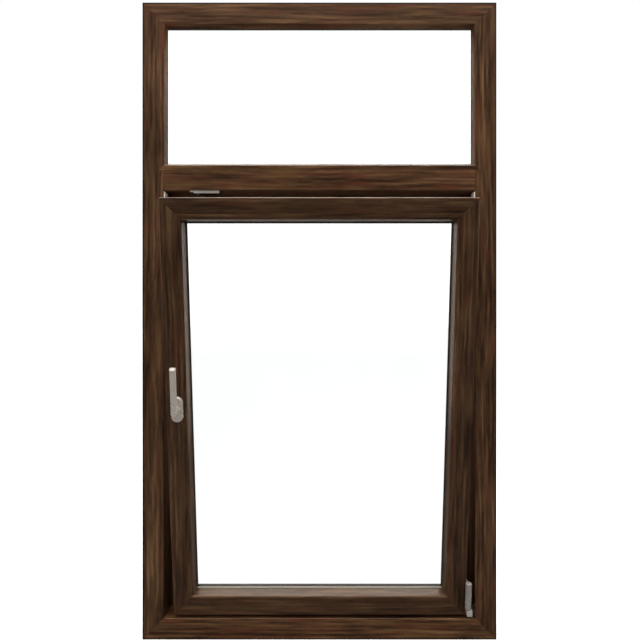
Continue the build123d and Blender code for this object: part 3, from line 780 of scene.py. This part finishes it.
def make_gaskets(rubber, lip):
    """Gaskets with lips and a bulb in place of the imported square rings."""
    seat_ring("top_light_gasket_inner", "lips", lip_profile, UPRIGHT, rubber)
    seat_ring("top_light_gasket_outer", "lips", lip_profile, UPRIGHT, rubber)
    seat_ring("sash_gasket_inner", "lips", lip_profile, SASH_MATRIX, lip)
    seat_ring("sash_gasket_outer", "lips", lip_profile, SASH_MATRIX, rubber)
    seat_ring("frame_seal", "bulb", bulb_profile, UPRIGHT, rubber)


# Corner bearing with softened edges


def make_corner_bearing(material):
    """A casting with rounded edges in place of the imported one."""
    piece = finish_piece("corner_bearing_cast", NODES["corner_bearing"].data.copy())
    shape = bmesh.new()
    shape.from_mesh(piece.data)
    bmesh.ops.dissolve_limit(shape, angle_limit=FLAT_ANGLE, verts=shape.verts, edges=shape.edges)
    shape.to_mesh(piece.data)
    shape.free()
    bevel = piece.modifiers.new("soft_edges", "BEVEL")
    bevel.width = CAST_RADIUS
    bevel.segments = CAST_STEPS
    bevel.limit_method = "ANGLE"
    bevel.angle_limit = CAST_ANGLE
    apply_modifiers(piece)
    shade_round(piece.data)
    fit_piece(piece, "corner_bearing", material, ROOT)


# Screws


def cross_head(tree, given):
    """A countersunk head with a cross cut into its top."""
    radius = given.outputs["Head Radius"]
    height = given.outputs["Head Height"]
    head = tree.nodes.new("GeometryNodeMeshCone")
    head.inputs["Vertices"].default_value = SCREW_SIDES
    connect(tree, radius, head.inputs["Radius Bottom"])
    connect(tree, math_node(tree, "MULTIPLY", radius, SCREW_RIM), head.inputs["Radius Top"])
    connect(tree, height, head.inputs["Depth"])
    cut = tree.nodes.new("GeometryNodeMeshBoolean")
    cut.operation = "DIFFERENCE"
    connect(tree, head.outputs["Mesh"], cut.inputs["Mesh 1"])
    for across, along in ((0, 1), (1, 0)):
        bar = tree.nodes.new("GeometryNodeMeshCube")
        size = tree.nodes.new("ShaderNodeCombineXYZ")
        connect(tree, math_node(tree, "MULTIPLY", radius, SLOT_LENGTH), size.inputs[across])
        connect(tree, given.outputs["Slot Width"], size.inputs[along])
        connect(tree, height, size.inputs[2])
        connect(tree, size.outputs[0], bar.inputs["Size"])
        lift = tree.nodes.new("GeometryNodeTransform")
        place = tree.nodes.new("ShaderNodeCombineXYZ")
        connect(tree, height, place.inputs[2])
        connect(tree, bar.outputs["Mesh"], lift.inputs["Geometry"])
        connect(tree, place.outputs[0], lift.inputs["Translation"])
        connect(tree, lift.outputs["Geometry"], cut.inputs["Mesh 2"])
    return cut.outputs["Mesh"]


def head_rotation(tree, given):
    """Turns each head the way that its point says, and its cross by chance."""
    facing = tree.nodes.new("GeometryNodeInputNamedAttribute")
    facing.data_type = "FLOAT_VECTOR"
    facing.inputs["Name"].default_value = "facing"
    align = tree.nodes.new("FunctionNodeAlignRotationToVector")
    align.axis = "Z"
    connect(tree, facing.outputs["Attribute"], align.inputs["Vector"])
    twist = tree.nodes.new("FunctionNodeRandomValue")
    twist.data_type = "FLOAT"
    twist.inputs[3].default_value = math.pi / 2
    connect(tree, given.outputs["Seed"], twist.inputs["Seed"])
    spin = tree.nodes.new("FunctionNodeAxisAngleToRotation")
    connect(tree, twist.outputs[1], spin.inputs["Angle"])
    both = tree.nodes.new("FunctionNodeRotateRotation")
    both.rotation_space = "LOCAL"
    connect(tree, align.outputs["Rotation"], both.inputs["Rotation"])
    connect(tree, spin.outputs["Rotation"], both.inputs["Rotate By"])
    return both.outputs["Rotation"]


def screw_tree():
    """Geometry Nodes: a countersunk cross-head screw on every point."""
    tree = bpy.data.node_groups.new("screw_heads", "GeometryNodeTree")
    face = tree.interface
    face.new_socket(name="Geometry", in_out="INPUT", socket_type="NodeSocketGeometry")
    for socket, value in SCREW_HEAD.items():
        made = face.new_socket(name=socket, in_out="INPUT", socket_type="NodeSocketFloat")
        made.default_value = value
    face.new_socket(name="Seed", in_out="INPUT", socket_type="NodeSocketInt")
    face.new_socket(name="Finish", in_out="INPUT", socket_type="NodeSocketMaterial")
    face.new_socket(name="Geometry", in_out="OUTPUT", socket_type="NodeSocketGeometry")
    given = tree.nodes.new("NodeGroupInput")
    result = tree.nodes.new("NodeGroupOutput")
    spread = tree.nodes.new("GeometryNodeInstanceOnPoints")
    connect(tree, given.outputs["Geometry"], spread.inputs["Points"])
    connect(tree, cross_head(tree, given), spread.inputs["Instance"])
    connect(tree, head_rotation(tree, given), spread.inputs["Rotation"])
    real = tree.nodes.new("GeometryNodeRealizeInstances")
    connect(tree, spread.outputs["Instances"], real.inputs["Geometry"])
    finish = tree.nodes.new("GeometryNodeSetMaterial")
    connect(tree, real.outputs["Geometry"], finish.inputs["Geometry"])
    connect(tree, given.outputs["Finish"], finish.inputs["Material"])
    connect(tree, finish.outputs["Geometry"], result.inputs["Geometry"])
    return tree


def screw_seat(matrix, place, facing):
    """A screw's seat and the way that its head faces, moved and turned by the matrix."""
    return matrix @ Vector(place), (matrix.to_3x3() @ Vector(facing)).normalized()


def faceplate_screws():
    """Rows of screws along the faceplates round the sash."""
    seats = []
    low, high = corners(node_points("side_faceplate", SASH_MATRIX))
    for step in range(SIDE_SCREWS):
        level = low.z + SCREW_INSET + step * SCREW_PITCH
        seats.append(screw_seat(SASH_MATRIX, (low.x, (low.y + high.y) / 2, level), (-1, 0, 0)))
    for node, count, way in (("top_faceplate", TOP_SCREWS, 1), ("bottom_faceplate", BOTTOM_SCREWS, -1)):
        low, high = corners(node_points(node, SASH_MATRIX))
        level = high.z if way == 1 else low.z
        for step in range(count):
            along = low.x + SCREW_INSET + step * SCREW_PITCH
            seats.append(screw_seat(SASH_MATRIX, (along, (low.y + high.y) / 2, level), (0, 0, way)))
    return seats


def hinge_screws():
    """Screws in the hinge leaf, the corner bearing and the stay bearing."""
    seats = []
    low, high = corners(node_points("hinge_band", SASH_MATRIX))
    for share in HINGE_SHARES:
        level = low.z + HINGE_MARGIN + share * (high.z - low.z - 2 * HINGE_MARGIN)
        place = (HINGE_LEAF_FACE, high.y - HINGE_SCREW_BACK, level)
        seats.append(screw_seat(SASH_MATRIX, place, (1, 0, 0)))
    for node, levels, back in (("corner_bearing", BEARING_LEVELS, BEARING_SCREW_BACK),
                               ("stay_bearing", STAY_LEVELS, STAY_SCREW_BACK)):
        low, high = corners(node_points(node, UPRIGHT))
        for level in levels:
            place = (high.x - PLATE, high.y - back, low.z + level)
            seats.append(screw_seat(UPRIGHT, place, (-1, 0, 0)))
    return seats


def frame_screws():
    """Screws in the transom fittings' feet and in the three keepers."""
    low, high = corners(node_points("transom_brackets", UPRIGHT))
    middle = ((low.y + high.y) / 2, (low.z + high.z) / 2)
    seats = [screw_seat(UPRIGHT, (low.x + FOOT, *middle), (1, 0, 0)),
             screw_seat(UPRIGHT, (high.x - FOOT, *middle), (-1, 0, 0))]
    low, high = corners(node_points("tilt_keeper", UPRIGHT))
    place = (low.x + TILT_KEEPER_INSET, (low.y + high.y) / 2, low.z)
    seats.append(screw_seat(UPRIGHT, place, (0, 0, -1)))
    low, high = corners(node_points("side_keeper", UPRIGHT))
    place = (high.x, (low.y + high.y) / 2, high.z - KEEPER_INSET)
    seats.append(screw_seat(UPRIGHT, place, (1, 0, 0)))
    low, high = corners(node_points("bottom_keeper", UPRIGHT))
    place = (low.x + KEEPER_INSET, (low.y + high.y) / 2, high.z)
    seats.append(screw_seat(UPRIGHT, place, (0, 0, 1)))
    return seats


def make_screws(material):
    """All the hardware's visible screw heads, in one mesh."""
    seats = faceplate_screws() + hinge_screws() + frame_screws()
    mesh = bpy.data.meshes.new("hardware_screws")
    mesh.from_pydata([place for place, facing in seats], [], [])
    ways = mesh.attributes.new(name="facing", type="FLOAT_VECTOR", domain="POINT")
    for item, (place, facing) in zip(ways.data, seats):
        item.vector = facing
    piece = bpy.data.objects.new("hardware_screws", mesh)
    SCENE.collection.objects.link(piece)
    tree = screw_tree()
    heads = piece.modifiers.new("screw_heads", "NODES")
    heads.node_group = tree
    values = {**SCREW_HEAD, "Seed": SCREW_SEED, "Finish": material}
    for socket in tree.interface.items_tree:
        if socket.in_out == "INPUT" and socket.name in values:
            heads[socket.identifier] = values[socket.name]
    apply_modifiers(piece)
    fit_piece(piece, None, material, ROOT)


# Room


def floor_material():
    """Pale matt floor: white to the camera and through glass, dim in gloss, with the shadow kept."""
    material, tree, shader, place = new_material("pale_floor")
    path = tree.nodes.new("ShaderNodeLightPath")
    patches = noise(tree, place, *FLOOR_PATCHES)
    shade = remap(tree, patches, *MOTTLE_RANGE, FLOOR_TONE - FLOOR_MOTTLE, FLOOR_TONE)
    dim = blend_values(tree, path.outputs["Is Glossy Ray"], 1.0, FLOOR_GLOSS)
    shade = math_node(tree, "MULTIPLY", shade, dim)
    tint = tree.nodes.new("ShaderNodeCombineColor")
    for channel in range(3):
        connect(tree, shade, tint.inputs[channel])
    connect(tree, tint.outputs["Color"], shader.inputs["Base Color"])
    shader.inputs["Roughness"].default_value = 1.0
    shader.inputs["Specular IOR Level"].default_value = 0.0
    distance = tree.nodes.new("ShaderNodeVectorMath")
    distance.operation = "LENGTH"
    connect(tree, place, distance.inputs[0])
    white = remap(tree, distance.outputs["Value"], *FLOOR_FADE, FLOOR_NEAR, 1.0)
    mirrored = math_node(tree, "MINIMUM", path.outputs["Glossy Depth"], 1.0)
    seen = math_node(tree, "MAXIMUM", path.outputs["Is Camera Ray"], path.outputs["Is Transmission Ray"])
    seen = math_node(tree, "MULTIPLY", seen, blend_values(tree, mirrored, 1.0, white))
    glow = blend_values(tree, path.outputs["Is Camera Ray"], GLASS_FLOOR, FLOOR_GLOW)
    connect(tree, math_node(tree, "MULTIPLY", seen, glow), shader.inputs["Emission Strength"])
    shader.inputs["Emission Color"].default_value = WHITE
    return material


def make_floor():
    """A level floor under the window, far wider than the picture."""
    mesh = bpy.data.meshes.new("floor")
    square = [(-FLOOR_REACH, -FLOOR_REACH, 0.0), (FLOOR_REACH, -FLOOR_REACH, 0.0),
              (FLOOR_REACH, FLOOR_REACH, 0.0), (-FLOOR_REACH, FLOOR_REACH, 0.0)]
    mesh.from_pydata(square, [], [(0, 1, 2, 3)])
    floor = bpy.data.objects.new("floor", mesh)
    SCENE.collection.objects.link(floor)
    mesh.materials.append(floor_material())


def make_world():
    """White to the eye and through glass, brighter from above as light, dimmer in gloss from the room."""
    world = bpy.data.worlds.new("world")
    SCENE.world = world
    world.use_nodes = True
    tree = world.node_tree
    background = tree.nodes["Background"]
    background.inputs["Color"].default_value = WHITE
    place = tree.nodes.new("ShaderNodeTexCoord")
    parts = separate(tree, place.outputs["Generated"])
    path = tree.nodes.new("ShaderNodeLightPath")
    light = remap(tree, parts["Z"], *SKY_RANGE, *SKY_LIGHT)
    gloss = remap(tree, parts["Y"], *OUTWARD_RANGE, *ROOM_GLOSS)
    gloss = math_node(tree, "MAXIMUM", gloss, remap(tree, parts["Z"], *ABOVE_RANGE))
    strength = blend_values(tree, path.outputs["Is Glossy Ray"], light, gloss)
    strength = blend_values(tree, path.outputs["Is Transmission Ray"], strength, GLASS_SKY)
    strength = blend_values(tree, path.outputs["Is Camera Ray"], strength, 1.0)
    connect(tree, strength, background.inputs["Strength"])


def make_lights():
    """Soft lamps above, behind and on both sides, out of the camera's sight."""
    for name, (place, aim, size, watts) in LAMPS.items():
        data = bpy.data.lights.new(name, "AREA")
        data.shape = "RECTANGLE"
        data.size, data.size_y = size
        data.energy = watts
        lamp = bpy.data.objects.new(name, data)
        SCENE.collection.objects.link(lamp)
        lamp.location = place
        lamp.visible_camera = False
        lamp.rotation_euler = (Vector(aim) - Vector(place)).to_track_quat("-Z", "Y").to_euler()


def make_camera():
    """The photograph's camera, level and square to the window."""
    data = bpy.data.cameras.new("camera")
    data.sensor_width = SENSOR
    data.sensor_fit = "HORIZONTAL"
    data.lens = SENSOR * FOCAL_PIXELS / PICTURE_PIXELS
    camera = bpy.data.objects.new("camera", data)
    SCENE.collection.objects.link(camera)
    camera.location = (CAMERA_SIDE, ROOM_FACE - CAMERA_DISTANCE, CAMERA_HEIGHT)
    camera.rotation_euler = (math.radians(90.0), 0.0, 0.0)
    SCENE.camera = camera


SCENE.view_settings.view_transform = "Standard"
make_camera()
make_world()
make_lights()
make_floor()
dress_foil()
FINISHES = make_finishes()
dress_rest(FINISHES)
make_gaskets(FINISHES["rubber"], FINISHES["lip"])
make_corner_bearing(FINISHES["bearing"])
make_screws(FINISHES["zinc"])
